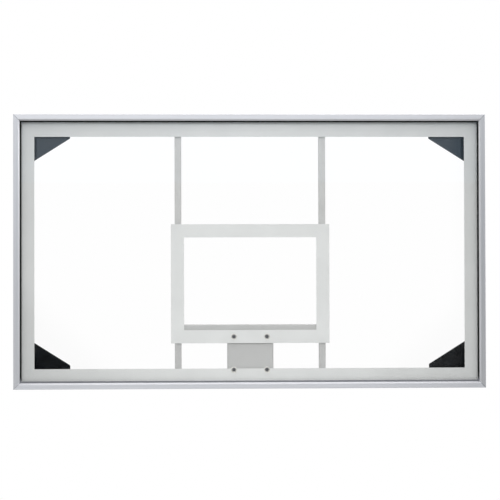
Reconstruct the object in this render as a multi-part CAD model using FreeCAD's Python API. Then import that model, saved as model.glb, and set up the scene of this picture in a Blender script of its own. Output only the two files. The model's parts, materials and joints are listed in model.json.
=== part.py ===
import FreeCAD, Part
import math
import os

from FreeCAD import Vector

# Framed glass basketball backboard for a bolt-on rim.
# A tempered pane sits in a black rubber glazing channel inside four mitred aluminium extrusions.
# Steel gusset plates and hidden keys hold the corners, and two struts, a cross bar and a folded
# goal plate behind the pane take the load of the rim.
# Millimetres. +X runs to the right seen from the court, +Y to the rear and +Z up.
# The origin is the middle of the four support slots, on the rear face of the gussets.

# Overall size of the frame
OVERALL_WIDTH = 1808.0
OVERALL_HEIGHT = 1050.0

# Aluminium extrusion: a hollow front nose, a glazing channel and a hollow rear box
NOSE_FACE = 18.0
NOSE_BEVEL = 6.0
NOSE_EDGE = 2.0
NOSE_WALL = 2.0
CHANNEL_FLOOR = 4.0
BOX_WIDTH = 38.0
BOX_WALL = 3.0
EDGE_RADIUS = 1.5
BEVEL_RADIUS = 0.8

# Rubber glazing channel
RUBBER_WALL = 3.0
RUBBER_SHOW = 6.0
BEAD_FLAT = 2.0
BEAD_DROP = 1.2
BEAD_LIP = 0.8
BEAD_RADIUS = 1.0
RUBBER_REAR_LEG = 28.0

# Glass pane and the white markings fired on its rear face
GLASS_THICKNESS = 12.7
GLASS_ARRIS = 1.0
PANE_SIDE_GAP = 1.8
PANE_TOP_GAP = 8.6
PRINT_THICKNESS = 0.2
BORDER_WIDTH = 68.7
TARGET_WIDTH = 609.6
TARGET_HEIGHT = 457.2
TARGET_LINE = 50.8

# Rim bolt square, five inches each way
RIM_PITCH = 127.0
RIM_LOWER_RISE = 64.0
RIM_HOLE = 13.5
SPACER_WALL = 3.05
SPACER_CLEARANCE = 0.4
SPACER_ENTRY = 0.5
BUSH_WALL = 1.2
BUSH_CLEARANCE = 0.1
RIM_NUT_ACROSS_FLATS = 22.2
RIM_NUT_BORE = 12.7
RIM_NUT_BORE_DEPTH = 17.0
RIM_NUT_END = 3.0
RIM_NUT_CHAMFER = 1.5

# Struts and cross bar: one size of square steel tube
TUBE = 25.4
TUBE_WALL = 2.0
TUBE_INNER_CORNER = 2.0
STRUT_PITCH = 555.0
STRUT_GAP = 5.0
STRUT_RECESS = 2.7
FOOT_THICKNESS = 5.0
FOOT_LENGTH = 90.0
FOOT_CORNER = 3.0
BAR_ABOVE_HOLES = 21.0

# Goal plate folded from steel sheet
GOAL_PLATE_MARGIN = 25.4
GOAL_PLATE_THICKNESS = 5.0
GOAL_FLANGE = 25.4
BEND_INNER_RADIUS = 3.0
CORNER_RELIEF_GAP = 2.0

# Corner gussets and keys, measured from the outer corner of the frame
GUSSET_THICKNESS = 5.0
GUSSET_INSET = 6.0
GUSSET_LENGTH = 210.0
GUSSET_HEIGHT = 200.0
GUSSET_NOSE = 87.5
GUSSET_TOE = 31.4
GUSSET_CORNER = 4.0
SLOT_FROM_SIDE = 104.0
SLOT_FROM_BOX = 22.0
SLOT_WIDTH = 14.0
SLOT_LENGTH = 26.0
KEY_LENGTH = 120.0
KEY_CORNER = 3.0
KEY_CLEARANCE = 0.2

# Depths behind the front face of the frame, and other sizes that follow
NOSE_REACH = NOSE_FACE + NOSE_BEVEL
NOSE_DEPTH = NOSE_BEVEL + NOSE_EDGE
GLASS_FRONT = NOSE_DEPTH + RUBBER_WALL
GLASS_BACK = GLASS_FRONT + GLASS_THICKNESS
PRINT_BACK = GLASS_BACK + PRINT_THICKNESS
BOX_FRONT = PRINT_BACK + RUBBER_WALL
STRUT_FRONT = PRINT_BACK + STRUT_GAP
FRAME_DEPTH = STRUT_FRONT + TUBE + STRUT_RECESS
FRAME_BACK_Y = -GUSSET_THICKNESS
HALF_WIDTH = OVERALL_WIDTH / 2
HALF_HEIGHT = OVERALL_HEIGHT / 2
GLASS_INSET = CHANNEL_FLOOR + RUBBER_WALL
PANE_HALF_WIDTH = HALF_WIDTH - GLASS_INSET - PANE_SIDE_GAP
PANE_BOTTOM = -HALF_HEIGHT + GLASS_INSET
PANE_TOP = HALF_HEIGHT - GLASS_INSET - PANE_TOP_GAP
RIM_LOWER = PANE_BOTTOM + RIM_LOWER_RISE
RIM_UPPER = RIM_LOWER + RIM_PITCH
SPACER_DIAMETER = RIM_HOLE + 2 * SPACER_WALL
BUSH_BORE = SPACER_DIAMETER + 2 * SPACER_CLEARANCE
BUSH_DIAMETER = BUSH_BORE + 2 * BUSH_WALL
GLASS_HOLE = BUSH_DIAMETER + 2 * BUSH_CLEARANCE
TARGET_BOTTOM = RIM_UPPER - TARGET_LINE / 2
BAR_BOTTOM = RIM_UPPER + BAR_ABOVE_HOLES
BOX_INNER_BOTTOM = -HALF_HEIGHT + BOX_WIDTH
BOX_INNER_TOP = HALF_HEIGHT - BOX_WIDTH
GOAL_PLATE_HALF_WIDTH = RIM_PITCH / 2 + GOAL_PLATE_MARGIN
BEND_OUTER_RADIUS = BEND_INNER_RADIUS + GOAL_PLATE_THICKNESS

SIDES = ("top", "bottom", "left", "right")
CORNERS = {"top_left": (-1, 1), "top_right": (1, 1), "bottom_left": (-1, -1), "bottom_right": (1, -1)}
REAR = Vector(0, 1, 0)
UP = Vector(0, 0, 1)


def y_at(depth):
    """Y of a plane at this depth behind the front face of the frame."""
    return FRAME_BACK_Y - FRAME_DEPTH + depth


def rounded_wire(corners, place):
    """Closed wire through corners (a, b, radius), with a tangent arc wherever the radius isn't zero."""
    ends = []
    for i, (a, b, radius) in enumerate(corners):
        here = Vector(a, b, 0)
        before = (Vector(*corners[i - 1][:2], 0) - here).normalize()
        after = (Vector(*corners[(i + 1) % len(corners)][:2], 0) - here).normalize()
        half_turn = before.getAngle(after) / 2
        middle = (before + after).normalize() if radius else Vector()
        back_off = radius / math.tan(half_turn) if radius else 0
        ends.append((
            here + before * back_off,
            here + middle * (radius / math.sin(half_turn) - radius),
            here + after * back_off,
        ))
    edges = []
    for i, (start, crest, finish) in enumerate(ends):
        previous = ends[i - 1][2]
        if (start - previous).Length > 1e-6:
            edges.append(Part.LineSegment(place(previous.x, previous.y), place(start.x, start.y)).toShape())
        if (finish - start).Length > 1e-6:
            points = [place(p.x, p.y) for p in (start, crest, finish)]
            edges.append(Part.Arc(*points).toShape())
    return Part.Wire(edges)


def prism(outlines, place, push):
    """Solid from a closed outline, and any hollows inside it, pushed along a vector."""
    wires = [rounded_wire(outline, place) for outline in outlines]
    return Part.makeFace(wires, "Part::FaceMakerBullseye").extrude(push)


def box(x_span, y_span, z_span):
    """Rectangular block between two limits on each axis."""
    sizes = [high - low for low, high in (x_span, y_span, z_span)]
    return Part.makeBox(*sizes, Vector(x_span[0], y_span[0], z_span[0]))


def drilled(shape, mouths, diameter, length):
    """The shape with a round hole from each mouth towards the rear."""
    for mouth in mouths:
        shape = shape.cut(Part.makeCylinder(diameter / 2, length, mouth, REAR))
    return shape


def corner_point(corner, from_side, from_end, y):
    """Point measured inwards from an outer corner of the frame."""
    across, upward = CORNERS[corner]
    return Vector(across * (HALF_WIDTH - from_side), y, upward * (HALF_HEIGHT - from_end))


def rim_hole_places(depth):
    """Middles of the four rim holes, at a depth."""
    offsets = (-RIM_PITCH / 2, RIM_PITCH / 2)
    return [Vector(x, y_at(depth), z) for z in (RIM_LOWER, RIM_UPPER) for x in offsets]


STRUT_PLACES = {"left": -STRUT_PITCH / 2, "right": STRUT_PITCH / 2}


# Frame extrusions and the rubber channel in them

def rail_point(side, along, inset, depth):
    """Point on a side of the frame: along it, inwards from its outer face, and behind its front face."""
    if side in ("left", "right"):
        x = inset - HALF_WIDTH
        return Vector(x if side == "left" else -x, y_at(depth), along)
    z = inset - HALF_HEIGHT
    return Vector(along, y_at(depth), z if side == "bottom" else -z)


def mitred_bar(side, outlines):
    """A section of (inset, depth) corners run along one side of the frame and mitred at both ends."""
    half = HALF_HEIGHT if side in ("left", "right") else HALF_WIDTH
    run = rail_point(side, half, 0, 0) - rail_point(side, -half, 0, 0)
    bar = prism(outlines, lambda inset, depth: rail_point(side, -half, inset, depth), run)
    outside, inside = -BOX_WIDTH, 2 * BOX_WIDTH
    trapezoid = [
        (outside - half, outside, 0),
        (half - outside, outside, 0),
        (half - inside, inside, 0),
        (inside - half, inside, 0),
    ]
    mitre = prism(
        [trapezoid],
        lambda along, inset: rail_point(side, along, inset, -FRAME_DEPTH),
        REAR * (3 * FRAME_DEPTH),
    )
    return bar.common(mitre).Solids[0]


def frame_rail(side):
    """One extrusion: a bevelled nose, the glazing channel behind it and the box at the rear."""
    bevel_shift = NOSE_WALL * (math.sqrt(2) - 1)
    section = [
        (0, 0, EDGE_RADIUS),
        (NOSE_FACE, 0, BEVEL_RADIUS),
        (NOSE_REACH, NOSE_BEVEL, BEVEL_RADIUS),
        (NOSE_REACH, NOSE_DEPTH, 0),
        (CHANNEL_FLOOR, NOSE_DEPTH, 0),
        (CHANNEL_FLOOR, BOX_FRONT, 0),
        (BOX_WIDTH, BOX_FRONT, EDGE_RADIUS),
        (BOX_WIDTH, FRAME_DEPTH, EDGE_RADIUS),
        (0, FRAME_DEPTH, EDGE_RADIUS),
    ]
    nose_slope_end = NOSE_FACE - bevel_shift + NOSE_DEPTH - 2 * NOSE_WALL
    nose_hollow = [
        (CHANNEL_FLOOR, NOSE_WALL, 0),
        (NOSE_FACE - bevel_shift, NOSE_WALL, 0),
        (nose_slope_end, NOSE_DEPTH - NOSE_WALL, 0),
        (CHANNEL_FLOOR, NOSE_DEPTH - NOSE_WALL, 0),
    ]
    box_hollow = [
        (BOX_WALL, BOX_FRONT + BOX_WALL, 0),
        (BOX_WIDTH - BOX_WALL, BOX_FRONT + BOX_WALL, 0),
        (BOX_WIDTH - BOX_WALL, FRAME_DEPTH - BOX_WALL, 0),
        (BOX_WALL, FRAME_DEPTH - BOX_WALL, 0),
    ]
    return mitred_bar(side, [section, nose_hollow, box_hollow])


def rubber_channel(side):
    """U-shaped rubber between pane and extrusion, with a sloping bead in front of the pane."""
    bead_top = NOSE_DEPTH - BEAD_DROP
    bead_end = NOSE_REACH + RUBBER_SHOW
    section = [
        (CHANNEL_FLOOR, NOSE_DEPTH, 0),
        (NOSE_REACH, NOSE_DEPTH, 0),
        (NOSE_REACH, bead_top, 0),
        (NOSE_REACH + BEAD_FLAT, bead_top, BEAD_RADIUS),
        (bead_end, GLASS_FRONT - BEAD_LIP, 0),
        (bead_end, GLASS_FRONT, 0),
        (GLASS_INSET, GLASS_FRONT, 0),
        (GLASS_INSET, PRINT_BACK, 0),
        (CHANNEL_FLOOR + RUBBER_REAR_LEG, PRINT_BACK, 0),
        (CHANNEL_FLOOR + RUBBER_REAR_LEG, BOX_FRONT, 0),
        (CHANNEL_FLOOR, BOX_FRONT, 0),
    ]
    return mitred_bar(side, [section])


# Pane and markings

def glass_pane():
    """Tempered pane with ground arrises and four rim holes."""
    depth = (y_at(GLASS_FRONT), y_at(GLASS_BACK))
    pane = box((-PANE_HALF_WIDTH, PANE_HALF_WIDTH), depth, (PANE_BOTTOM, PANE_TOP))
    rims = [edge for edge in pane.Edges if abs(edge.tangentAt(edge.FirstParameter).y) < 0.5]
    pane = pane.makeChamfer(GLASS_ARRIS, rims)
    return drilled(pane, rim_hole_places(GLASS_FRONT), GLASS_HOLE, GLASS_THICKNESS)


def printed_ring(outer_x, outer_z, line):
    """Rectangular line of fired white enamel on the rear of the pane, clear of the rim holes."""
    depth = (y_at(GLASS_BACK), y_at(PRINT_BACK))
    inner_x = (outer_x[0] + line, outer_x[1] - line)
    inner_z = (outer_z[0] + line, outer_z[1] - line)
    printed = box(outer_x, depth, outer_z).cut(box(inner_x, depth, inner_z))
    return drilled(printed, rim_hole_places(GLASS_BACK), GLASS_HOLE, PRINT_THICKNESS)


def border_marking():
    """Border line along the edge of the pane, up to its arris."""
    x = PANE_HALF_WIDTH - GLASS_ARRIS
    z_span = (PANE_BOTTOM + GLASS_ARRIS, PANE_TOP - GLASS_ARRIS)
    return printed_ring((-x, x), z_span, BORDER_WIDTH - GLASS_ARRIS)


def target_marking():
    """Target rectangle, with the upper rim holes in the middle of its lowest line."""
    x = TARGET_WIDTH / 2
    return printed_ring((-x, x), (TARGET_BOTTOM, TARGET_BOTTOM + TARGET_HEIGHT), TARGET_LINE)


# Struts, cross bar and goal plate

def tube_outlines():
    """Outer and inner outline of the square tube about its own middle."""
    half = TUBE / 2
    inner = half - TUBE_WALL
    signs = ((-1, -1), (1, -1), (1, 1), (-1, 1))
    outside = [(a * half, b * half, TUBE_INNER_CORNER + TUBE_WALL) for a, b in signs]
    inside = [(a * inner, b * inner, TUBE_INNER_CORNER) for a, b in signs]
    return [outside, inside]


def strut(x):
    """Upright tube between its two feet."""
    low = BOX_INNER_BOTTOM + FOOT_THICKNESS
    high = BOX_INNER_TOP - FOOT_THICKNESS
    middle = y_at(STRUT_FRONT) + TUBE / 2
    return prism(tube_outlines(), lambda a, b: Vector(x + a, middle + b, low), UP * (high - low))


def strut_foot(x, end):
    """Plate welded to a strut and bolted to a rail. End is 1 for the top foot and -1 for the bottom one."""
    half = FOOT_LENGTH / 2
    front, back = BOX_FRONT + EDGE_RADIUS, FRAME_DEPTH - EDGE_RADIUS
    outline = [
        (-half, front, FOOT_CORNER),
        (half, front, FOOT_CORNER),
        (half, back, FOOT_CORNER),
        (-half, back, FOOT_CORNER),
    ]
    seat = end * BOX_INNER_TOP
    return prism([outline], lambda a, depth: Vector(x + a, y_at(depth), seat), UP * (-end * FOOT_THICKNESS))


def cross_bar():
    """Horizontal tube between the struts, above the rim holes."""
    half = STRUT_PITCH / 2 - TUBE / 2
    y = y_at(STRUT_FRONT) + TUBE / 2
    z = BAR_BOTTOM + TUBE / 2
    return prism(tube_outlines(), lambda a, b: Vector(-half, y + a, z + b), Vector(2 * half, 0, 0))


def folded_channel(low, high, place, push):
    """U-shaped sheet with its flat web to the front and rounded bends."""
    t = GOAL_PLATE_THICKNESS
    front, back = STRUT_FRONT, STRUT_FRONT + GOAL_FLANGE
    outline = [
        (low, back, 0),
        (low, front, BEND_OUTER_RADIUS),
        (high, front, BEND_OUTER_RADIUS),
        (high, back, 0),
        (high - t, back, 0),
        (high - t, front + t, BEND_INNER_RADIUS),
        (low + t, front + t, BEND_INNER_RADIUS),
        (low + t, back, 0),
    ]
    return prism([outline], place, push)


def goal_plate():
    """Sheet folded back on four sides, notched at its corners, from the cross bar to the bottom rail."""
    half = GOAL_PLATE_HALF_WIDTH
    low, high = BOX_INNER_BOTTOM, BAR_BOTTOM
    notch = BEND_OUTER_RADIUS + CORNER_RELIEF_GAP
    upright_run = UP * (high - low - 2 * notch)
    level_run = Vector(2 * (half - notch), 0, 0)
    upright = folded_channel(-half, half, lambda a, depth: Vector(a, y_at(depth), low + notch), upright_run)
    level = folded_channel(low, high, lambda a, depth: Vector(notch - half, y_at(depth), a), level_run)
    plate = upright.fuse(level).removeSplitter()
    return drilled(plate, rim_hole_places(STRUT_FRONT), RIM_HOLE, GOAL_PLATE_THICKNESS)


# Corner gussets and keys

def gusset(corner):
    """Flat steel plate across a corner of the frame, with a slot for the support's bolt."""
    outline = [
        (GUSSET_INSET, GUSSET_INSET, GUSSET_CORNER),
        (GUSSET_LENGTH, GUSSET_INSET, GUSSET_CORNER),
        (GUSSET_LENGTH, GUSSET_NOSE, GUSSET_CORNER),
        (GUSSET_TOE, GUSSET_HEIGHT, GUSSET_CORNER),
        (GUSSET_INSET, GUSSET_HEIGHT, GUSSET_CORNER),
    ]
    radius, half_straight = SLOT_WIDTH / 2, (SLOT_LENGTH - SLOT_WIDTH) / 2
    slot_side, slot_end = SLOT_FROM_SIDE, BOX_WIDTH + SLOT_FROM_BOX
    signs = ((-1, -1), (1, -1), (1, 1), (-1, 1))
    straight = [(slot_side + a * half_straight, slot_end + b * radius, 0) for a, b in signs]

    def on_frame_back(side, end):
        return corner_point(corner, side, end, FRAME_BACK_Y)

    push = REAR * GUSSET_THICKNESS
    plate = prism([outline], on_frame_back, push).cut(prism([straight], on_frame_back, push))
    slot_ends = [on_frame_back(slot_side + a * half_straight, slot_end) for a in (-1, 1)]
    return drilled(plate, slot_ends, SLOT_WIDTH, GUSSET_THICKNESS)


def corner_key(corner):
    """L-shaped block that fills the boxes of two rails where they meet."""
    near = BOX_WALL + KEY_CLEARANCE
    far = BOX_WIDTH - near
    outline = [
        (near, near, KEY_CORNER),
        (KEY_LENGTH, near, KEY_CORNER),
        (KEY_LENGTH, far, KEY_CORNER),
        (far, far, 0),
        (far, KEY_LENGTH, KEY_CORNER),
        (near, KEY_LENGTH, KEY_CORNER),
    ]
    front = BOX_FRONT + near
    back = FRAME_DEPTH - near
    return prism(
        [outline],
        lambda side, end: corner_point(corner, side, end, y_at(front)),
        REAR * (back - front),
    )


# What takes the bolts of the rim

def hexagon(across_flats, height):
    """Hexagonal prism about the Z axis."""
    radius = across_flats / math.sqrt(3)
    turns = [math.radians(60 * i) for i in range(7)]
    points = [Vector(radius * math.cos(turn), radius * math.sin(turn), 0) for turn in turns]
    return Part.Face(Part.makePolygon(points)).extrude(UP * height)


def rim_nut(seat):
    """Closed-end hexagon nut welded to the rear of the goal plate, its far corners turned down."""
    height = RIM_NUT_BORE_DEPTH + RIM_NUT_END
    end_radius = RIM_NUT_ACROSS_FLATS / 2 - RIM_NUT_CHAMFER
    turned = Part.makeCone(end_radius + height, end_radius, height)
    nut = hexagon(RIM_NUT_ACROSS_FLATS, height).common(turned)
    nut = nut.cut(Part.makeCylinder(RIM_NUT_BORE / 2, RIM_NUT_BORE_DEPTH))
    nut.Placement = FreeCAD.Placement(seat, FreeCAD.Rotation(UP, REAR))
    return nut


def ring(seat, outer, inner, length):
    """Plain tube from a point on its axis towards the rear."""
    return drilled(Part.makeCylinder(outer / 2, length, seat, REAR), [seat], inner, length)


def pieces():
    """Every node of the backboard by name."""
    made = {"glass_pane": glass_pane()}
    made["border_marking"] = border_marking()
    made["target_marking"] = target_marking()
    for side in SIDES:
        made[f"frame_{side}"] = frame_rail(side)
        made[f"glazing_rubber_{side}"] = rubber_channel(side)
    for corner in CORNERS:
        made[f"gusset_{corner}"] = gusset(corner)
        made[f"corner_key_{corner}"] = corner_key(corner)
    for name, x in STRUT_PLACES.items():
        made[f"strut_{name}"] = strut(x)
        made[f"strut_foot_top_{name}"] = strut_foot(x, 1)
        made[f"strut_foot_bottom_{name}"] = strut_foot(x, -1)
    made["cross_bar"] = cross_bar()
    made["goal_plate"] = goal_plate()
    plate_back = STRUT_FRONT + GOAL_PLATE_THICKNESS
    made["rim_weld_nuts"] = Part.makeCompound([rim_nut(p) for p in rim_hole_places(plate_back)])
    made["glass_bushes"] = Part.makeCompound([
        ring(p, BUSH_DIAMETER, BUSH_BORE, GLASS_THICKNESS) for p in rim_hole_places(GLASS_FRONT)
    ])
    spacer_front = GLASS_BACK - SPACER_ENTRY
    made["rim_spacers"] = Part.makeCompound([
        ring(p, SPACER_DIAMETER, RIM_HOLE, STRUT_FRONT - spacer_front) for p in rim_hole_places(spacer_front)
    ])
    return made


os.makedirs("parts", exist_ok=True)
for node, shape in pieces().items():
    shape.exportStep(f"parts/{node}.step")
    print(f"{node}: {len(shape.Solids)} solids, {shape.Volume / 1000:.1f} cm3, valid {shape.isValid()}")
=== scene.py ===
# %% [markdown]
# # A framed glass basketball backboard
# The board is a clear tempered pane in a mitred aluminium frame, with white lines fired on its
# rear face and steel struts behind it. It could all be modelled here, but its solids are already
# measured and built, so they are loaded first and stay where they are. Blender adds their
# finishes, the enamel lines, the screws, the welds, the light and the camera. Lengths are in
# metres. X runs to the right, Y to the rear and Z up.

import json
import math

import bpy
from mathutils import Matrix, Vector


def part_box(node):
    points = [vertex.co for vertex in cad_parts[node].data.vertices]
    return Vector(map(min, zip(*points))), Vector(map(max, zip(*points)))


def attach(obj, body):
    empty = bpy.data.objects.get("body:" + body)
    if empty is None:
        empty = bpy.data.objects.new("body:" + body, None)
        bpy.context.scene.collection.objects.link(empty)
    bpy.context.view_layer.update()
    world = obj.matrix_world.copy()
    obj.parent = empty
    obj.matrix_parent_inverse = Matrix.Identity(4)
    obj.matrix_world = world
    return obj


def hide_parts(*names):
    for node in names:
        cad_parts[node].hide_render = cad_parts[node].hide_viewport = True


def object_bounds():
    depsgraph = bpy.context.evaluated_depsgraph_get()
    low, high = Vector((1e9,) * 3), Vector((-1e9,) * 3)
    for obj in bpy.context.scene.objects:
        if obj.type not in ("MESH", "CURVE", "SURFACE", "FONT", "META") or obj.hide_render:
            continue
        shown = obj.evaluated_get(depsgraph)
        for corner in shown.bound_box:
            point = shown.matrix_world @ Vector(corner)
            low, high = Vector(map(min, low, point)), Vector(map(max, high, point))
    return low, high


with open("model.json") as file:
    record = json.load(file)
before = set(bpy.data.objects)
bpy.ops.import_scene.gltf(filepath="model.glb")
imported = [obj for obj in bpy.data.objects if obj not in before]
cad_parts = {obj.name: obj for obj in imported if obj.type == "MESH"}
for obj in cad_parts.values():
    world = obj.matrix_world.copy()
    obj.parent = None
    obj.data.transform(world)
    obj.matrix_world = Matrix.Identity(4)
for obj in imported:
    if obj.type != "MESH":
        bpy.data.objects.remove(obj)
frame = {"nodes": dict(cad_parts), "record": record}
solid_box = [list(corner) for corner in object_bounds()]
nodes = frame["nodes"]
MM = 0.001


def in_mm(points):
    return [[round(value / MM, 1) for value in point] for point in points]


print("solids:", len(nodes), "box in mm:", in_mm(solid_box))

# %% [markdown]
# ## Colours
# Paint makers give a colour as a hex value, which is spaced as the eye sees it. Blender's shaders
# count light instead, and a hex value divided by 255 would come out too pale. So every colour
# below is written as hex, and one function turns it into light.

# %% From hex to light
def linear(hex_colour):
    channels = [int(hex_colour[i:i + 2], 16) / 255 for i in (1, 3, 5)]
    return [c / 12.92 if c <= 0.04045 else ((c + 0.055) / 1.055) ** 2.4 for c in channels] + [1.0]


print("half-way grey gives off this share of white's light:", round(linear("#808080")[0], 3))

# %% [markdown]
# ## Nodes
# A finish is a chain of nodes. By hand it is drawn in the shader editor, and in code every node
# takes several lines for its settings and links. One small function does this for any node, so
# that each finish below reads as a recipe. Patterns read Object coordinates, which are real
# places in metres, so a grain of 5 mm is 5 mm on every piece.

# %% A node with its settings and links
def add(tree, kind, settings=(), links=()):
    """Adds a node. Its kind is Blender's name for it, without ShaderNode. A setting in small
    letters is a field of the node. One with a capital, or a number, is an input, and so is every
    link. A link comes from an output, or from a node, which stands for its first output in use."""
    node = tree.nodes.new("ShaderNode" + kind)

    def input_named(name):
        if isinstance(name, int):
            return node.inputs[name]
        return next(socket for socket in node.inputs if socket.enabled and socket.name == name)

    for name, value in dict(settings).items():
        if str(name).islower():
            setattr(node, name, value)
        else:
            input_named(name).default_value = value
    for name, source in dict(links).items():
        if isinstance(source, bpy.types.Node):
            source = next(output for output in source.outputs if output.enabled)
        tree.links.new(source, input_named(name))
    return node


def blank_finish(name):
    """A new material, its empty tree, and the Object coordinates that its patterns read."""
    material = bpy.data.materials.new(name)
    material.use_nodes = True
    tree = material.node_tree
    tree.nodes.clear()
    place = add(tree, "TexCoord").outputs["Object"]
    return material, tree, place


print("ready to mix finishes")

# %% [markdown]
# ## The mitre line
# The rails are sawn at 45 degrees, and where two of them meet the cut shows as a dark hairline.
# It could be a real gap between the solids, but a tenth of a millimetre would be lost inside a
# pixel. So it is painted into the metal, 0.9 mm along the rail to each side of the cut. All four
# cuts lie where the distance sideways from the board's middle, less the distance up or down, is
# the same as at a corner.

# %% The cut between two rails
HALF_WIDTH = (solid_box[1][0] - solid_box[0][0]) / 2
HALF_HEIGHT = (solid_box[1][2] - solid_box[0][2]) / 2
MITRE_REACH = 0.9 * MM


def mitre_cut(tree, place):
    """1 on the cut between two rails, and 0 elsewhere."""
    axes = add(tree, "SeparateXYZ", links={"Vector": place})
    sideways = add(tree, "Math", {"operation": "ABSOLUTE"}, {0: axes.outputs["X"]})
    upwards = add(tree, "Math", {"operation": "ABSOLUTE"}, {0: axes.outputs["Z"]})
    lead = add(tree, "Math", {"operation": "SUBTRACT"}, {0: sideways, 1: upwards})
    near_cut = {"operation": "COMPARE", 1: HALF_WIDTH - HALF_HEIGHT, 2: MITRE_REACH}
    return add(tree, "Math", near_cut, {0: lead})


print("half the width and height in mm:", in_mm([[HALF_WIDTH, HALF_HEIGHT]]))

# %% [markdown]
# ## Anodised aluminium
# The rails are extruded, etched and clear anodised. Etching leaves a satin surface, and the die
# leaves long faint lines along each rail. A picture of brushed metal could be wrapped round them.
# A noise that is stretched along the rail needs no picture and no unwrapping, and it steers the
# tone, the gloss and the relief together. Real die lines are tenths of a millimetre apart, far
# below a pixel here, so they are drawn 3 mm wide.

# %% Recipe of the anodised rails
STREAK_WIDTH = 3 * MM  # ten times the real spacing, so that it shows
STREAK_LENGTH = 500 * MM
NOISE_RANGE = {"From Min": 0.3, "From Max": 0.7}  # a noise hardly ever leaves it


def anodised_aluminium(name, tones, streak, sheen_turn):
    # satin metal: a broad soft sheen with faint streaks along the rail
    material, tree, place = blank_finish(name)
    density = [1 / length for length in streak]
    stretched = add(tree, "Mapping", {"Scale": density}, {"Vector": place})
    lines = add(tree, "TexNoise", {"Scale": 1.0, "Detail": 3.0, "Roughness": 0.6},
                {"Vector": stretched})
    streaks = add(tree, "MapRange", NOISE_RANGE, {"Value": lines})
    two_tones = {"data_type": "RGBA", "A": linear(tones[0]), "B": linear(tones[1])}
    tone = add(tree, "Mix", two_tones, {"Factor": streaks})
    seamed = add(tree, "Mix", {"data_type": "RGBA", "B": linear("#7E8186")},
                 {"Factor": mitre_cut(tree, place), "A": tone})
    satin = add(tree, "MapRange", {"To Min": 0.45, "To Max": 0.53}, {"Value": lines})
    relief = add(tree, "Bump", {"Strength": 0.15, "Distance": 0.1 * MM}, {"Height": lines})
    brushed = {"Metallic": 1.0, "Anisotropic": 0.6, "Anisotropic Rotation": sheen_turn}
    shader = add(tree, "BsdfPrincipled", brushed,
                 {"Base Color": seamed, "Roughness": satin, "Normal": relief})
    add(tree, "OutputMaterial", links={"Surface": shader})
    return material


print("streaks in mm:", in_mm([[STREAK_WIDTH, STREAK_LENGTH]]))

# %% [markdown]
# ## Level and upright rails
# Two rails lie level and two stand upright, and their streaks and sheen run along them. A UV map
# on each rail could turn one finish to suit, but with two directions it is simpler to run the
# recipe for each. The right rail is a shade darker: painted shade, because less light falls on it
# than on the left one.

# %% Finishes of the four rails
RAIL_TONES = ("#C6C7CB", "#D0D1D5")
# painted shade: darker tones for the right rail, which gets less light than the left one
SHADED_RAIL_TONES = ("#BFC0C3", "#C9CACD")
LEVEL_STREAK = (STREAK_LENGTH, STREAK_WIDTH, STREAK_WIDTH)
UPRIGHT_STREAK = (STREAK_WIDTH, STREAK_WIDTH, STREAK_LENGTH)
QUARTER_TURN = 0.25

level_rail = anodised_aluminium("anodised_aluminium_level", RAIL_TONES, LEVEL_STREAK, QUARTER_TURN)
left_rail = anodised_aluminium("anodised_aluminium_left", RAIL_TONES, UPRIGHT_STREAK, 0.0)
right_rail = anodised_aluminium("anodised_aluminium_right", SHADED_RAIL_TONES, UPRIGHT_STREAK, 0.0)
RAIL_FINISH = {
    "frame_top": level_rail,
    "frame_bottom": level_rail,
    "frame_left": left_rail,
    "frame_right": right_rail,
}
print("rail finishes:", {rail: finish.name for rail, finish in RAIL_FINISH.items()})

# %% [markdown]
# ## Tempered glass
# The pane is clear float glass, hardened in an oven. A glass shader could bend the light as real
# glass does, but a flat pane 13 mm thick shifts what lies behind it by less than a millimetre
# when seen square on. So the pane is see-through plus mirror, and more mirror at a slant, which
# keeps the light behind it clean. The oven's rollers leave waves about 250 mm long, and a very
# weak bump of that size lets the reflections drift as they do on a real pane.

# %% Clear tempered glass
ROLLER_WAVE = 250 * MM
ROLLER_WIDTH = 900 * MM


def tempered_glass():
    # clear and colourless seen square on, with one clean sharp reflection
    material, tree, place = blank_finish("tempered_glass")
    density = (1 / ROLLER_WIDTH, 1.0, 1 / ROLLER_WAVE)
    rolled = add(tree, "Mapping", {"Scale": density}, {"Vector": place})
    waves = add(tree, "TexNoise", {"Scale": 1.0, "Detail": 1.0}, {"Vector": rolled})
    drift = add(tree, "Bump", {"Strength": 0.3, "Distance": 0.4 * MM}, {"Height": waves})
    clear = add(tree, "BsdfTransparent", {"Color": linear("#FFFFFF")})
    mirror = add(tree, "BsdfGlossy", {"Roughness": 0.02}, {"Normal": drift})
    slant = add(tree, "Fresnel", {"IOR": 1.52}, {"Normal": drift})
    side = add(tree, "NewGeometry")
    outer = add(tree, "Math", {"operation": "SUBTRACT", 0: 1.0}, {1: side.outputs["Backfacing"]})
    share = add(tree, "Math", {"operation": "MULTIPLY"}, {0: slant, 1: outer})
    pane = add(tree, "MixShader", links={"Fac": share, 1: clear, 2: mirror})
    add(tree, "OutputMaterial", links={"Surface": pane})
    return material


glass = tempered_glass()
print("pane finish:", glass.name)

# %% [markdown]
# ## Scuffs, and painted light and shade
# Handling leaves scuffs on paint and plating. Light and shade are also painted into some colours,
# as a tone that changes with height. Both could be brushed onto each piece by hand. As patterns
# they go onto any finish in one line: scuffs show where a noise is strongest, and the painted
# tone is full at one height and thins out towards another.

# %% Scuffs, and painted light and shade by height, for any finish
def scuffed(tree, place, tone, colour, spot, strength):
    fine = {"Scale": 1 / spot, "Detail": 7.0, "Roughness": 0.7}
    spots = add(tree, "TexNoise", fine, {"Vector": place})
    strongest = {"From Min": 0.56, "From Max": 0.72, "To Max": strength}
    share = add(tree, "MapRange", strongest, {"Value": spots})
    over = {"data_type": "RGBA", "B": linear(colour)}
    return add(tree, "Mix", over, {"Factor": share, "A": tone})


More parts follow.
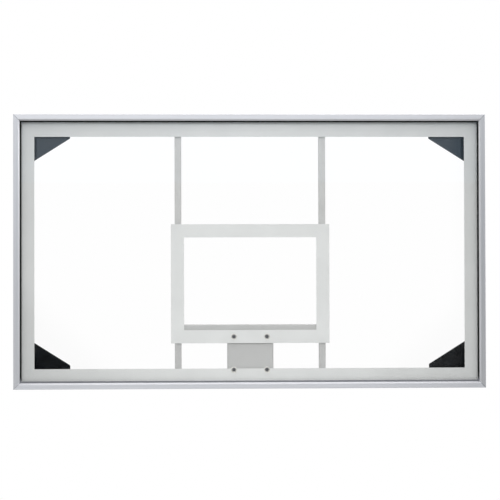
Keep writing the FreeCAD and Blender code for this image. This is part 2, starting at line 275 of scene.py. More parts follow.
def dusted(tree, place, tone, colour, strength, full, fade_end):
    """full is the height where the painted light or shade is strongest, and fade_end the height
    where it ends.
    """
    axes = add(tree, "SeparateXYZ", links={"Vector": place})
    height_range = {"From Min": fade_end, "From Max": full, "To Max": strength}
    share = add(tree, "MapRange", height_range, {"Value": axes.outputs["Z"]})
    over = {"data_type": "RGBA", "B": linear(colour)}
    return add(tree, "Mix", over, {"Factor": share, "A": tone})


print("ready to age a finish")

# %% [markdown]
# ## One recipe for the other surfaces
# Paint, rubber, zinc, nylon and cast metal differ in colour, in gloss and in how coarse they are.
# Each could have nodes of its own, but all of them have a cloudy tone, a gloss that follows it
# and a fine relief, so one recipe makes them. Orange peel on sprayed paint is about 2 mm wide and
# a cast skin's grain about 1 mm. A pixel here covers nearly 4 mm, so both are drawn 4 to 6 mm
# wide.

# %% Recipe of coated, moulded and cast surfaces
def surface_finish(name, tones, roughness, grain, depth, cloud=60 * MM, metallic=0.0,
                   specular=0.5, scuffs=None, painted_light=None):
    """Clouds run between the two tones and between the two roughnesses. Grain and depth belong to
    the relief. Scuffs have a colour, a spot size and a strength. Painted light has a colour, a
    strength and the heights where it is full and where it ends, and with a dark colour it is
    painted shade."""
    material, tree, place = blank_finish(name)
    clouds = add(tree, "TexNoise", {"Scale": 1 / cloud, "Detail": 4.0}, {"Vector": place})
    grains = add(tree, "TexNoise", {"Scale": 1 / grain, "Detail": 2.0}, {"Vector": place})
    drift = add(tree, "MapRange", NOISE_RANGE, {"Value": clouds})
    two_tones = {"data_type": "RGBA", "A": linear(tones[0]), "B": linear(tones[1])}
    tone = add(tree, "Mix", two_tones, {"Factor": drift})
    if scuffs:
        tone = scuffed(tree, place, tone, *scuffs)
    if painted_light:
        tone = dusted(tree, place, tone, *painted_light)
    sheen = add(tree, "MapRange", {"To Min": roughness[0], "To Max": roughness[1]},
                {"Value": clouds})
    relief = add(tree, "Bump", {"Strength": 0.3, "Distance": depth}, {"Height": grains})
    shader = add(tree, "BsdfPrincipled", {"Metallic": metallic, "Specular IOR Level": specular},
                 {"Base Color": tone, "Roughness": sheen, "Normal": relief})
    add(tree, "OutputMaterial", links={"Surface": shader})
    return material


print("recipe ready, after", len(bpy.data.materials), "materials")

# %% [markdown]
# ## Enamel and paint
# The lines on the pane are glass paint, the tubes and plates behind it are powder coated, and the
# corner gussets are sprayed gloss black. A flat colour would do from far away, but the eye tells
# the three coats apart by how sharp their gloss is and how coarse their skin is, so each gets its
# own. The lower steel gets less light, and this shade is painted into its coat: painted shade
# darkens it from near the top to the board's middle, and it stays dark below.

# %% Coats of enamel and paint
# grey of the scuffs, and of the painted shade on the lower steel
SCUFF_AND_SHADE_GREY = "#8C8D8C"
SHADE_FULL = -50 * MM  # heights from the board's middle
SHADE_END = 450 * MM

# glass paint fired at 600 degrees: an even, hard white, glossy where the pane covers it
enamel = surface_finish(
    "fired_enamel_white", tones=("#DADCDB", "#DFE1E0"), roughness=(0.25, 0.35),
    grain=6 * MM, depth=0.05 * MM, cloud=90 * MM,
)
# polyester powder coat baked on steel: light grey, half matt, with orange peel and faint scuffs,
# and painted shade that darkens it low down
powder_coat = surface_finish(
    "powder_coat_grey", tones=("#CBCCCB", "#D1D2D1"), roughness=(0.45, 0.6),
    grain=5 * MM, depth=0.2 * MM,
    scuffs=(SCUFF_AND_SHADE_GREY, 22 * MM, 0.22), painted_light=(SCUFF_AND_SHADE_GREY, 0.34, SHADE_FULL, SHADE_END),
)
# wet-sprayed gloss black: deep and shiny, with a thin haze of dust
gloss_black = surface_finish(
    "gloss_black_paint", tones=("#07090B", "#0F1418"), roughness=(0.1, 0.17),
    grain=6 * MM, depth=0.06 * MM, cloud=45 * MM, scuffs=("#5A5F62", 14 * MM, 0.12),
)
print("coats:", [coat.name for coat in (enamel, powder_coat, gloss_black)])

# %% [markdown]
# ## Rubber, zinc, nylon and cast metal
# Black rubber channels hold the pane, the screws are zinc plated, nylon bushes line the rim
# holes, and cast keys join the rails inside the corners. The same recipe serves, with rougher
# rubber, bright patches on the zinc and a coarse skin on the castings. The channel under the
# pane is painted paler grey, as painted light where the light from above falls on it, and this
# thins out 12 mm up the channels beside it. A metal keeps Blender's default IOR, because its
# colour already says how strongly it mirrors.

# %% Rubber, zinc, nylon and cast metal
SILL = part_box("glazing_rubber_bottom")[1].z
# painted light: the rubber is painted paler up to this far above the sill
PAINTED_LIGHT_REACH = 12 * MM
ZINC_TONES = ("#B4B6B6", "#CFCDC6")
ZINC_ROUGHNESS = (0.28, 0.42)
ZINC_PATCH = 7 * MM

# extruded EPDM: a dull black with a little grey bloom, and painted light along the sill, where
# light from above falls
rubber = surface_finish(
    "epdm_rubber", tones=("#060707", "#101112"), roughness=(0.7, 0.85), specular=0.25,
    grain=4 * MM, depth=0.2 * MM, cloud=25 * MM,
    scuffs=("#3A3B3B", 9 * MM, 0.3), painted_light=("#93959C", 0.6, SILL, SILL + PAINTED_LIGHT_REACH),
)
# bright zinc plating on steel: silvery with pale warm and cool patches
zinc = surface_finish(
    "bright_zinc_plate", tones=ZINC_TONES, roughness=ZINC_ROUGHNESS, metallic=1.0,
    grain=4 * MM, depth=0.08 * MM, cloud=ZINC_PATCH, scuffs=("#8B8A84", 3 * MM, 0.4),
)
# natural nylon: a waxy off-white
nylon = surface_finish(
    "natural_nylon", tones=("#E2E1DB", "#EDECE6"), roughness=(0.4, 0.55),
    grain=4 * MM, depth=0.05 * MM, cloud=12 * MM,
)
# sand-cast aluminium: a dull grey grainy skin
cast_metal = surface_finish(
    "cast_aluminium_skin", tones=("#8F9092", "#ABACAE"), roughness=(0.55, 0.7), metallic=1.0,
    grain=5 * MM, depth=0.3 * MM, cloud=9 * MM, scuffs=("#6F7071", 6 * MM, 0.5),
)
print("finishes:", [finish.name for finish in (rubber, zinc, nylon, cast_metal)])
# painted light on the rubber reaches up to this height
print("dust up to", round((SILL + PAINTED_LIGHT_REACH) / MM, 1), "mm from the board's middle")

# %% [markdown]
# ## Inside the threads
# Four weld nuts behind the goal plate take the rim's bolts. They are bright outside. Little light
# gets into a deep thread, so its shade is painted into the bore as a darker grey, and each rim
# hole looks black from the court. The bores could be cut free and given a second material. The
# nuts are one solid with one finish, so the finish finds the bores by itself: within 7 mm of a
# bolt's axis, and short of the nut's closed end.

# %% Where a nut is threaded
RIM_X = 63.5 * MM
RIM_Z = (-454.0 * MM, -327.0 * MM)
THREAD_REACH = 7 * MM
NUT_WALL = 2 * MM
NUT_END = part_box("rim_weld_nuts")[1].y


def in_thread(tree, place):
    """1 inside the four threaded bores, and 0 elsewhere."""
    rim_middle = (0, 0, sum(RIM_Z) / 2)
    bolt = (RIM_X, 0, (RIM_Z[1] - RIM_Z[0]) / 2)
    centred = add(tree, "VectorMath", {"operation": "SUBTRACT", 1: rim_middle}, {0: place})
    folded = add(tree, "VectorMath", {"operation": "ABSOLUTE"}, {0: centred})
    from_bolt = add(tree, "VectorMath", {"operation": "SUBTRACT", 1: bolt}, {0: folded})
    flat = add(tree, "VectorMath", {"operation": "MULTIPLY", 1: (1, 0, 1)}, {0: from_bolt})
    radius = add(tree, "VectorMath", {"operation": "LENGTH"}, {0: flat})
    narrow = add(tree, "Math", {"operation": "LESS_THAN", 1: THREAD_REACH}, {0: radius})
    axes = add(tree, "SeparateXYZ", links={"Vector": place})
    open_end = add(tree, "Math", {"operation": "LESS_THAN", 1: NUT_END - NUT_WALL},
                   {0: axes.outputs["Y"]})
    return add(tree, "Math", {"operation": "MULTIPLY"}, {0: narrow, 1: open_end})


print("rim bolts in mm:", in_mm([[-RIM_X, RIM_X], RIM_Z]))

# %% [markdown]
# ## Weld nuts
# The thread is half an inch with 13 turns to the inch. A real helix would be thousands of faces
# that nobody sees past the front of the bore, so its turns are bands along the bolt's direction,
# raised by a bump. Outside the bore the nuts have the patches and the gloss of the zinc on the
# screws.

# %% Zinc nuts with painted shade in the threads
THREAD_PITCH = 25.4 / 13 * MM
BAND_LENGTH = math.pi / 10  # length of one band of the wave texture at a scale of 1


def threaded_nut():
    # bright outside, and a bore painted darker as shade, with fine rings inside
    material, tree, place = blank_finish("bright_zinc_nut")
    inside = in_thread(tree, place)
    bands = {"bands_direction": "Y", "Scale": BAND_LENGTH / THREAD_PITCH}
    turns = add(tree, "TexWave", bands, {"Vector": place})
    cut = add(tree, "Math", {"operation": "MULTIPLY"}, {0: turns.outputs["Fac"], 1: inside})
    patches = add(tree, "TexNoise", {"Scale": 1 / ZINC_PATCH, "Detail": 4.0}, {"Vector": place})
    two_tones = {"data_type": "RGBA", "A": linear(ZINC_TONES[0]), "B": linear(ZINC_TONES[1])}
    plated = add(tree, "Mix", two_tones, {"Factor": patches})
    # painted shade: the threaded bore is mixed to a darker grey
    tone = add(tree, "Mix", {"data_type": "RGBA", "B": linear("#86878A")},
               {"Factor": inside, "A": plated})
    sheen = add(tree, "MapRange", {"To Min": ZINC_ROUGHNESS[0], "To Max": ZINC_ROUGHNESS[1]},
                {"Value": patches})
    relief = add(tree, "Bump", {"Strength": 0.6, "Distance": 0.8 * MM}, {"Height": cut})
    shader = add(tree, "BsdfPrincipled", {"Metallic": 1.0},
                 {"Base Color": tone, "Roughness": sheen, "Normal": relief})
    add(tree, "OutputMaterial", links={"Surface": shader})
    return material


nut_zinc = threaded_nut()
print("nut finish:", nut_zinc.name, "thread pitch in mm:", round(THREAD_PITCH / MM, 3))

# %% [markdown]
# ## Dressing the solids
# Each solid already has the right shape, so it only needs its finish. That could be assigned
# piece by piece. The record names a material slot for every solid, so a short table from slot to
# finish dresses them all, and only the rails are looked up by name. Natural nylon lets light
# through, so the thin bushes in the rim holes cast no shadow on the enamel round them.

# %% Finishes on the solids
FINISH_OF_SLOT = {
    "glass": glass,
    "white_enamel": enamel,
    "black_rubber": rubber,
    "black_steel": gloss_black,
    "cast_aluminium": cast_metal,
    "grey_steel": powder_coat,
    "zinc_steel": nut_zinc,
    "white_nylon": nylon,
}
subparts = frame["record"]["subparts"]
for subpart in subparts:
    name = subpart["node"]
    finish = RAIL_FINISH.get(name) or FINISH_OF_SLOT[subpart["material_slot"]]
    for slot in nodes[name].material_slots:
        slot.material = finish
nodes["glass_bushes"].visible_shadow = False
print("dressed:", len(subparts), "solids")

# %% [markdown]
# ## Selecting in code
# An operator acts on whatever is selected, and a new primitive is selected all over. With a mouse
# the wanted faces would be clicked. In code each step first clears the selection, and then picks
# faces or edges by where their middles are, which still finds them when a size changes.

# %% Clear the selection, and pick faces or edges
def fresh_start():
    if bpy.context.object and bpy.context.object.mode != "OBJECT":
        bpy.ops.object.mode_set(mode="OBJECT")
    bpy.ops.object.select_all(action="DESELECT")


def pick(piece, kind, wanted):
    """Selects the faces or edges whose middle passes the test, and stays in edit mode."""
    bpy.ops.object.mode_set(mode="EDIT")
    bpy.ops.mesh.select_mode(type=kind)
    bpy.ops.mesh.select_all(action="DESELECT")
    bpy.ops.object.mode_set(mode="OBJECT")
    mesh = piece.data
    for item in mesh.polygons if kind == "FACE" else mesh.edges:
        corners = [mesh.vertices[i].co for i in item.vertices]
        item.select = wanted(sum(corners, Vector()) / len(corners))
    bpy.ops.object.mode_set(mode="EDIT")


print("ready to select")

# %% [markdown]
# ## Finishing a piece
# Modifiers are applied as soon as they are set, so that the next operator works on what they
# made. A piece could keep its place in its object's transform, but its pattern would then slide
# or turn with it. So a finished piece gets its place in its mesh, then its finish, and the board
# carries it.

# %% Apply a modifier, and settle a finished piece
def use_modifier(piece, kind, **settings):
    bpy.context.view_layer.objects.active = piece
    modifier = piece.modifiers.new(kind.title(), kind)
    for field, value in settings.items():
        setattr(modifier, field, value)
    bpy.ops.object.modifier_apply(modifier=modifier.name)


def settle(piece, name, finish):
    """A finished piece: its place in its mesh, its finish on it, and the board carrying it."""
    fresh_start()
    piece.select_set(True)
    bpy.context.view_layer.objects.active = piece
    bpy.ops.object.transform_apply(location=True, rotation=True, scale=True)
    piece.name = piece.data.name = name
    piece.data.materials.clear()
    piece.data.materials.append(finish)
    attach(piece, "root")
    return piece


print("ready to model")

# %% [markdown]
# ## An enamel line
# The border and the target are screen printed on the pane's rear face and fired on. They could be
# painted into the glass material, but a print has an edge and a thickness of its own. So a sheet
# as large as the outline is inset by the line's width, its middle is taken out, and what is left
# gets a film's thickness. The film stands 0.05 mm off the glass, because two faces in one plane
# flicker.

# %% A printed outline
PRINT_GAP = 0.05 * MM
STANDING = (math.pi / 2, 0, 0)  # turns a flat primitive to face the court


def printed_outline(node, line_width):
    low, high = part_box(node)
    front = low.y + PRINT_GAP
    fresh_start()
    bpy.ops.mesh.primitive_plane_add(
        size=1, location=((low.x + high.x) / 2, front, (low.z + high.z) / 2), rotation=STANDING)
    film = bpy.context.object
    film.scale = (high.x - low.x, high.z - low.z, 1)
    bpy.ops.object.transform_apply(location=True, rotation=True, scale=True)
    pick(film, "FACE", lambda middle: True)
    bpy.ops.mesh.inset(thickness=line_width)
    bpy.ops.mesh.delete(type="FACE")
    bpy.ops.object.mode_set(mode="OBJECT")
    use_modifier(film, "SOLIDIFY", thickness=high.y - front, offset=-1)
    return film


print("film stands off the glass by", PRINT_GAP / MM, "mm")

# %% [markdown]
# ## Border and target
# The rim's holes are drilled before the glass is printed, and the print leaves them free. Each
# line could be drawn round the holes corner by corner, but cutting is simpler: a drill stands in
# each hole, takes its share out of the film and goes away again. The outlines replace the plain
# solids.

# %% Both lines, with the rim holes cut out
DRILL_RADIUS = 11.7 * MM
DRILL_LENGTH = 10 * MM
LINE_WIDTHS = {"border_marking": 67.7 * MM, "target_marking": 50.8 * MM}


def drill_rim_holes(film, depth):
    for x in (-RIM_X, RIM_X):
        for z in RIM_Z:
            fresh_start()
            bpy.ops.mesh.primitive_cylinder_add(
                vertices=48, radius=DRILL_RADIUS, depth=DRILL_LENGTH, location=(x, depth, z),
                rotation=STANDING)
            drill = bpy.context.object
            use_modifier(film, "BOOLEAN", operation="DIFFERENCE", object=drill, solver="EXACT")
            bpy.data.objects.remove(drill)


for node, line_width in LINE_WIDTHS.items():
    film = printed_outline(node, line_width)
    drill_rim_holes(film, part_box(node)[0].y + PRINT_GAP)
    settle(film, node.replace("marking", "enamel"), enamel)
    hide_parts(node)
    print(film.name, "has", len(film.data.polygons), "faces")

# %% [markdown]
# ## A screw head
# Low flanged M8 socket screws hold the gussets, the strut feet and the goal plate. A head could
# be turned from a profile. It is quicker from a disc, which is inset and drawn up into a smaller
# drum, with both rims rolled over by bevels. The shank is out of sight in the metal, so it isn't
# drawn.

# %% A flanged drum, seated at the origin and pointing up
FLANGE_RADIUS = 7.5 * MM
FLANGE_HEIGHT = 1.0 * MM
FLANGE_ROUNDING = 0.4 * MM
HEAD_RADIUS = 5.8 * MM
HEAD_HEIGHT = 3.4 * MM
HEAD_ROUNDING = 1.6 * MM
NEARLY = 0.98  # this share of a height or a radius counts as reaching it


def on_flange_rim(middle):
    outside = middle.xy.length > FLANGE_RADIUS * NEARLY
    return outside and middle.z > FLANGE_HEIGHT * NEARLY


fresh_start()
bpy.ops.mesh.primitive_cylinder_add(vertices=32, radius=FLANGE_RADIUS, depth=FLANGE_HEIGHT,
                                    location=(0, 0, FLANGE_HEIGHT / 2))
screw = bpy.context.object
bpy.ops.object.transform_apply(location=True)
pick(screw, "FACE", lambda middle: middle.z > FLANGE_HEIGHT * NEARLY)
bpy.ops.mesh.inset(thickness=FLANGE_RADIUS - HEAD_RADIUS)
rise = (0, 0, HEAD_HEIGHT - FLANGE_HEIGHT)
bpy.ops.mesh.extrude_region_move(TRANSFORM_OT_translate={"value": rise})
pick(screw, "EDGE", lambda middle: middle.z > HEAD_HEIGHT * NEARLY)
bpy.ops.mesh.bevel(offset=HEAD_ROUNDING, segments=5, profile=0.5)
pick(screw, "EDGE", on_flange_rim)
bpy.ops.mesh.bevel(offset=FLANGE_ROUNDING, segments=2, profile=0.5)
bpy.ops.object.mode_set(mode="OBJECT")
print("drum faces:", len(screw.data.polygons))

# %% [markdown]
# ## The socket
# A 5 mm key turns the screw, so the head has a six-sided socket. It could be inset and pushed
# down, but the drum has 32 sides and the socket six, and their corners don't meet. A six-sided
# bar that cuts into the head leaves clean walls. Shading is smooth where faces meet at less than
# 35 degrees.

# %% Six-sided socket and smooth shading
SOCKET_RADIUS = 2.9 * MM
SOCKET_DEPTH = 2 * MM
SMOOTH_BELOW = math.radians(35)

fresh_start()
bpy.ops.mesh.primitive_cylinder_add(vertices=6, radius=SOCKET_RADIUS, depth=2 * SOCKET_DEPTH,
                                    location=(0, 0, HEAD_HEIGHT))
key_bar = bpy.context.object
use_modifier(screw, "BOOLEAN", operation="DIFFERENCE", object=key_bar, solver="EXACT")
bpy.data.objects.remove(key_bar)
fresh_start()
screw.select_set(True)
bpy.context.view_layer.objects.active = screw
bpy.ops.object.shade_smooth_by_angle(angle=SMOOTH_BELOW)
print("screw head faces:", len(screw.data.polygons))

# %% [markdown]
# ## Where the screws sit
# Two screws hold each leg of a gusset to its rail, on the middle line of the rail. Two hold each
# strut foot to the rail that it stands on, and two hold the goal plate's lower flange. Their
# places could be typed in one by one. They are read from the solids, so every head rests on the
# face that it clamps.

# %% Places of the screws
RAIL_MIDDLE = 19 * MM
GUSSET_STEPS = (60 * MM, 95 * MM)
FOOT_STEP = 30 * MM
PLATE_STEP = 35 * MM
PLATE_THICKNESS = 5 * MM
FLANGE_LINE = -17.5 * MM
BOTH_WAYS = (-1, 1)

places = []
for name in [n for n in nodes if n.startswith("gusset_")]:
    sign_x = -1 if "left" in name else 1
    sign_z = 1 if "top" in name else -1
    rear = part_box(name)[1].y
    spots = [(HALF_WIDTH - step, HALF_HEIGHT - RAIL_MIDDLE) for step in GUSSET_STEPS]
    spots += [(HALF_WIDTH - RAIL_MIDDLE, HALF_HEIGHT - step) for step in GUSSET_STEPS]
    places += [(name, (sign_x * x, rear, sign_z * z), (0, 1, 0)) for x, z in spots]
for name in [n for n in nodes if n.startswith("strut_foot_")]:
    low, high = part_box(name)
    middle = (low + high) / 2
    inner, facing = (low.z, (0, 0, -1)) if "top" in name else (high.z, (0, 0, 1))
    places += [(name, (middle.x + way * FOOT_STEP, middle.y, inner), facing) for way in BOTH_WAYS]
flange_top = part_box("goal_plate")[0].z + PLATE_THICKNESS
for way in BOTH_WAYS:
    places.append(("goal_plate", (way * PLATE_STEP, FLANGE_LINE, flange_top), (0, 0, 1)))
print("places for screws:", len(places))

# %% [markdown]
# ## Copies of the screw
# All the screws are alike. Linked copies would share one mesh, but each finished piece has its
# place in its mesh, so every copy gets a mesh of its own. It is turned from pointing up to the
# way that its face looks, and the head that was modelled first is taken away.

# %% A screw in every place
UPWARDS = Vector((0, 0, 1))
counts = {}
for holder, seat, facing in places:
    fresh_start()
    screw.select_set(True)
    bpy.context.view_layer.objects.active = screw
    bpy.ops.object.duplicate(linked=False)
    head = bpy.context.object
    turn = UPWARDS.rotation_difference(Vector(facing)).to_matrix().to_4x4()
    head.matrix_world = Matrix.Translation(seat) @ turn
    counts[holder] = counts.get(holder, 0) + 1
    settle(head, f"screw_{holder}_{counts[holder]}", zinc)
bpy.data.objects.remove(screw)
print("screws:", counts)

# %% [markdown]
# ## A row of weld
# A hand-laid bead is a row of overlapping scales, each a frozen puddle. A bent tube with a bump
# on it would look like a cable. So one puddle is a slightly flattened ball, and an array repeats
# it along the seam, spaced so that a whole number of scales fills it.

# %% One row of weld scales
SCALE_STEP = 2.6 * MM
BEAD_RADIUS = 2.6 * MM
PUDDLE_SHAPE = (0.85, 1.0, 1.0)


def weld_row(start, end):
    """A row of weld scales from start to end."""
    start, end = Vector(start), Vector(end)
    length = (end - start).length
    count = max(2, round(length / SCALE_STEP))
    step = length / count
    fresh_start()
    bpy.ops.mesh.primitive_uv_sphere_add(segments=8, ring_count=6, radius=BEAD_RADIUS)
    row = bpy.context.object
    bpy.ops.object.mode_set(mode="EDIT")
    bpy.ops.mesh.select_all(action="SELECT")
    bpy.ops.transform.resize(value=PUDDLE_SHAPE)
    bpy.ops.transform.translate(value=(step / 2, 0, 0))
    bpy.ops.object.mode_set(mode="OBJECT")
    use_modifier(row, "ARRAY", count=count, use_relative_offset=False, use_constant_offset=True,
                 constant_offset_displace=(step, 0, 0))
    turn = Vector((1, 0, 0)).rotation_difference(end - start).to_matrix().to_4x4()
    row.matrix_world = Matrix.Translation(start) @ turn
    return row


print("weld scales every", SCALE_STEP / MM, "mm")

# %% [markdown]
# ## A welded joint
# A tube is welded all the way round its end, in four rows. The rows could simply overlap, but
# their balls would leave faces inside one another. They are joined and remeshed at half a
# millimetre, which melts them into one skin. Paint covers the weld, so it has the finish of the
# steel.

# %% Rows round a tube, melted into one bead
WELD_VOXEL = 0.5 * MM


def round_tube(low, high, axis, at):
    """The four seams round a square tube whose end face lies at one place along its axis."""
    a, b = [i for i in range(3) if i != axis]
    points = []
    for u, v in ((low[a], low[b]), (high[a], low[b]), (high[a], high[b]), (low[a], high[b])):
        point = [0.0, 0.0, 0.0]
        point[a], point[b], point[axis] = u, v, at
        points.append(point)
    return list(zip(points, points[1:] + points[:1]))


def weld(name, seams):
    """All rows of one welded joint, as one piece."""
    rows = [weld_row(start, end) for start, end in seams]
    fresh_start()
    for row in rows:
        row.select_set(True)
    bpy.context.view_layer.objects.active = rows[0]
    bpy.ops.object.join()
    bead = bpy.context.object
    use_modifier(bead, "REMESH", mode="VOXEL", voxel_size=WELD_VOXEL, use_smooth_shade=True)
    return settle(bead, name, powder_coat)


print("weld skin every", WELD_VOXEL / MM, "mm")

# %% [markdown]
# ## Laying the welds
# The struts are welded to their feet, the cross bar to the struts, and the goal plate to the bar.
# The plate could have a full seam too, but screws hold it as well, so a welder would set two
# short stitches. Every seam runs where two solids touch, and its ends are read from their boxes.

# %% Welds of the struts, the cross bar and the goal plate
X_AXIS, Z_AXIS = 0, 2
STITCH_STARTS = (-70 * MM, 30 * MM)
STITCH_LENGTH = 40 * MM

beads = []
for side in ("left", "right"):
    low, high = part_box(f"strut_{side}")
    beads.append(weld(f"weld_foot_bottom_{side}", round_tube(low, high, Z_AXIS, low.z)))
    beads.append(weld(f"weld_foot_top_{side}", round_tube(low, high, Z_AXIS, high.z)))
low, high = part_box("cross_bar")
beads.append(weld("weld_bar_left", round_tube(low, high, X_AXIS, low.x)))
beads.append(weld("weld_bar_right", round_tube(low, high, X_AXIS, high.x)))
stitches = [((x, high.y, low.z), (x + STITCH_LENGTH, high.y, low.z)) for x in STITCH_STARTS]
beads.append(weld("weld_goal_plate", stitches))
print("welds:", len(beads), "faces:", sum(len(bead.data.polygons) for bead in beads))

# %% [markdown]
# ## Floor
# The board hangs at playing height, with its lower edge 2.9 m above the court. A large plane
# would show its edge against the background, so the floor is a pale disc that keeps the board's
# soft shadow and fades to white at its rim. Reflections see it whiter, because the polished metal
# in the photograph shows bare white surroundings.

# %% Pale floor
FLOOR_LEVEL = -3.425
FLOOR_RADIUS = 9.0
FADE_START = 3.0
MIRRORED_WHITE = 0.6


def floor_paint():
    # matt off-white paint under the board, and plain white light towards the rim
    material, tree, place = blank_finish("pale_floor")
    distance = add(tree, "VectorMath", {"operation": "LENGTH"}, {0: place})
    outwards = {"interpolation_type": "SMOOTHSTEP", "From Min": FADE_START,
                "From Max": FLOOR_RADIUS}
    fade = add(tree, "MapRange", outwards, {"Value": distance})
    path = add(tree, "LightPath")
    mirrored = add(tree, "Math", {"operation": "MULTIPLY", 1: MIRRORED_WHITE},
                   {0: path.outputs["Is Glossy Ray"]})
    whiter = add(tree, "Math", {"operation": "MAXIMUM"}, {0: fade, 1: mirrored})
    matt = add(tree, "BsdfDiffuse", {"Color": linear("#E4E4E2")})
    white = add(tree, "Emission", {"Strength": 1.0})
    mixed = add(tree, "MixShader", links={"Fac": whiter, 1: matt, 2: white})
    add(tree, "OutputMaterial", links={"Surface": mixed})
    return material


fresh_start()
bpy.ops.mesh.primitive_circle_add(vertices=96, radius=FLOOR_RADIUS, fill_type="NGON",
                                  location=(0, 0, FLOOR_LEVEL))
floor = bpy.context.object
floor.name = "floor"
floor.data.materials.append(floor_paint())
print("floor at", FLOOR_LEVEL, "m")

# %% [markdown]
# ## A dark card
# Glass and metal show only what they mirror, so a photographer sets up dark cards for them. The
# dark could be painted on the pieces, but it would stay put when the view turns, and a reflection
# moves. A card here is seen by reflections alone and takes no light from the board. It thins out
# towards one side, so that its edge doesn't show as a line.

# %% A card that only reflections see
def dark_card(name, at, width, height, fading_to, fade, density):
    """fade holds two distances from the card's middle, between which it thins out."""
    # black card: nearly no light comes back from it
    material, tree, place = blank_finish(name)
    reach = add(tree, "VectorMath", {"operation": "DOT_PRODUCT", 1: fading_to}, {0: place})
    thinning = {"interpolation_type": "SMOOTHSTEP", "From Min": fade[0], "From Max": fade[1],
                "To Min": 1 - density}
    thin = add(tree, "MapRange", thinning, {"Value": reach})
    black = add(tree, "BsdfDiffuse", {"Color": linear("#16181A")})
    open_air = add(tree, "BsdfTransparent")
    mixed = add(tree, "MixShader", links={"Fac": thin, 1: black, 2: open_air})
    add(tree, "OutputMaterial", links={"Surface": mixed})
    fresh_start()
    bpy.ops.mesh.primitive_plane_add(size=1, location=at, rotation=STANDING)
    card = bpy.context.object
    card.name = name
    card.data.transform(Matrix.Diagonal((width, height, 1.0, 1.0)))
    card.data.materials.append(material)
    card.visible_camera = False
    card.visible_diffuse = False
    card.visible_shadow = False
    return card


print("ready to set up cards")

# %% [markdown]
# ## Cards behind the camera
# Two low cards, slanted as the gussets are, make the lower gussets deep black through the pane. A
# tall one on the right keeps the right rail greyer than the left. Darker paint and metal would
# give the same from the court, but would be wrong from every other side.

# %% Three cards
INWARDS, RISING = 0.664, 0.748  # square to the gussets' slanted edges

cards = [
    dark_card("low_card_left", at=(-1.8, -6.5, -0.7), width=3.2, height=1.6,
              fading_to=(INWARDS, RISING, 0), fade=(0.05, 0.42), density=1.0),
    dark_card("low_card_right", at=(2.1, -6.5, -0.7), width=3.2, height=1.6,
              fading_to=(-INWARDS, RISING, 0), fade=(0.05, 0.42), density=0.85),
    dark_card("side_card", at=(4.0, -6.6, 0.5), width=4.2, height=7.8,
              fading_to=(-1, 0, 0), fade=(1.75, 2.1), density=1.0),
]
print("cards:", [card.name for card in cards])

# %% [markdown]
# ## Light
# The photograph has soft light from above and in front, strongest on the middle of the board. An
# even panel couldn't give that middle, so it is a spot lamp with a blurred rim, and it is kept
# out of reflections, where it would leave a hard spot on the rails. An overhead panel and a back
# light shape the top and the rear.

# %% Lamps that light the board
def lamp(name, kind, at, aim, power, **settings):
    data = bpy.data.lights.new(name, kind)
    data.energy = power
    for field, value in settings.items():
        setattr(data, field, value)
    light = bpy.data.objects.new(name, data)
    bpy.context.scene.collection.objects.link(light)
    light.location = at
    light.rotation_euler = (Vector(aim) - Vector(at)).to_track_quat("-Z", "Y").to_euler()
    light.visible_camera = False
    return light


def panel(name, at, aim, power, width, height, **settings):
    """A flat lamp with its real size in metres."""
    return lamp(name, "AREA", at, aim, power, shape="RECTANGLE", size=width, size_y=height,
                **settings)


key_light = lamp("key_light", "SPOT", at=(-0.45, -7.0, 3.6), aim=(0.0, -0.05, -0.42), power=1400,
                 spot_size=math.radians(21.8), spot_blend=1.0, shadow_soft_size=0.8)
key_light.visible_glossy = False
panel("overhead_light", at=(0, -1.7, 3.4), aim=(0, -0.2, 0), power=46, width=4.2, height=1.9)
panel("back_light", at=(1.0, 3.6, 2.8), aim=(0, 0, 0), power=110, width=2.4, height=1.4)

# %% [markdown]
# ## Lights for the gloss alone
# Bare metal and gloss paint need something bright to mirror. More light on the whole board would
# bleach its matt parts, so these lamps show in reflections only. Two far strips, high beside the
# board's own plane, draw the bright line on the frame's bevels. Two softboxes in front lift the
# top rail, and a low one lifts the right half of the bottom rail. A pale blue window behind the
# camera gives the upper gussets their slate tone.

# %% Lamps that only show in reflections
STRIP = {"aim": (0, -0.06, 0), "width": 1.4, "height": 2.0}
SOFTBOX = {"aim": (0, 0, 0.2), "width": 2.6, "height": 0.9}

shine = [
    panel("strip_light_left", at=(-8.0, -0.75, 2.6), power=40, **STRIP),
    panel("strip_light_right", at=(8.0, -0.75, 2.6), power=130, **STRIP),
    panel("softbox_light_left", at=(-1.6, -4.2, 2.4), power=19, **SOFTBOX),
    panel("softbox_light_right", at=(1.5, -4.2, 2.4), power=17, **SOFTBOX),
    panel("low_light", at=(1.7, -4.2, -3.0), aim=(0.5, 0, -0.5), power=10, width=1.6, height=0.6),
    panel("window_light", at=(0, -6.5, 0.97), aim=(0, 0, 0.97), power=6.4, width=6.0, height=0.6,
          color=linear("#6FC8FF")[:3]),
]
for light in shine:
    light.visible_diffuse = False
print("for gloss:", [light.name for light in shine])

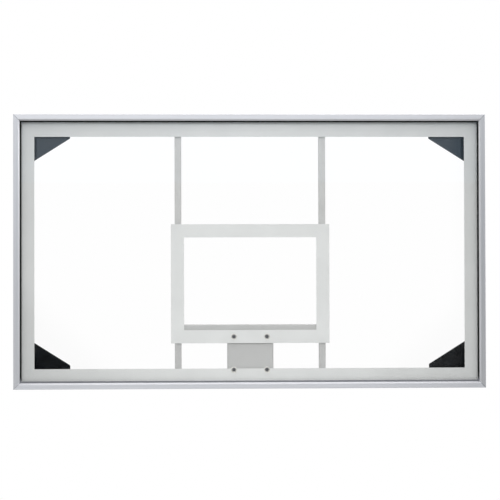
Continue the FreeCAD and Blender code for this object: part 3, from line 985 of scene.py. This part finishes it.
# %% [markdown]
# ## World
# The photograph's background is plain white, and even light comes from all round. One white world
# could give both, but as a lamp it would bleach the enamel to the same white. So it is plain
# white to the eye, in mirrors and through glass, and weaker as a lamp, and the enamel keeps its
# own grey.

# %% White surroundings
WORLD_AS_LAMP = 0.42

world = bpy.data.worlds.new("studio")
bpy.context.scene.world = world
world.use_nodes = True
sky = world.node_tree
sky.nodes.clear()
path = add(sky, "LightPath")
seen = add(sky, "Math", {"operation": "MAXIMUM"},
           {0: path.outputs["Is Camera Ray"], 1: path.outputs["Is Glossy Ray"]})
shown = add(sky, "Math", {"operation": "MAXIMUM"},
            {0: seen, 1: path.outputs["Is Transmission Ray"]})
level = add(sky, "MapRange", {"To Min": WORLD_AS_LAMP, "To Max": 1.0}, {"Value": shown})
air = add(sky, "Background", {"Color": linear("#FFFFFF")}, {"Strength": level})
add(sky, "OutputWorld", links={"Surface": air})
bpy.context.scene.view_settings.view_transform = "Standard"
print("the world as a lamp:", WORLD_AS_LAMP)

# %% [markdown]
# ## Camera
# The photograph looks at the board almost square on from about five metres. A camera could be
# placed by eye, but then no edge would fall where it should. Its place, turn and lens were worked
# out from the frame's corners, the target and the rim holes as they lie in the picture.

# %% Camera at the photograph's angle
IMAGE_PIXELS = 500
FOCAL_PIXELS = 1291.22
SENSOR_WIDTH = 36  # in millimetres, as Blender counts a sensor and a lens
CAMERA_PLACE = (-0.1199, -5.0, -0.0450)
YAW, PITCH, ROLL = 0.024019, 0.010149, -0.002309

camera_data = bpy.data.cameras.new("camera")
camera_data.sensor_fit = "HORIZONTAL"
camera_data.sensor_width = SENSOR_WIDTH
camera_data.lens = SENSOR_WIDTH * FOCAL_PIXELS / IMAGE_PIXELS
camera = bpy.data.objects.new("camera", camera_data)
bpy.context.scene.collection.objects.link(camera)
turned = Matrix.Rotation(-YAW, 4, "Z")
raised = Matrix.Rotation(math.pi / 2 + PITCH, 4, "X")
rolled = Matrix.Rotation(ROLL, 4, "Z")
camera.matrix_world = Matrix.Translation(CAMERA_PLACE) @ turned @ raised @ rolled
bpy.context.scene.camera = camera
print("lens in mm:", round(camera_data.lens, 2))
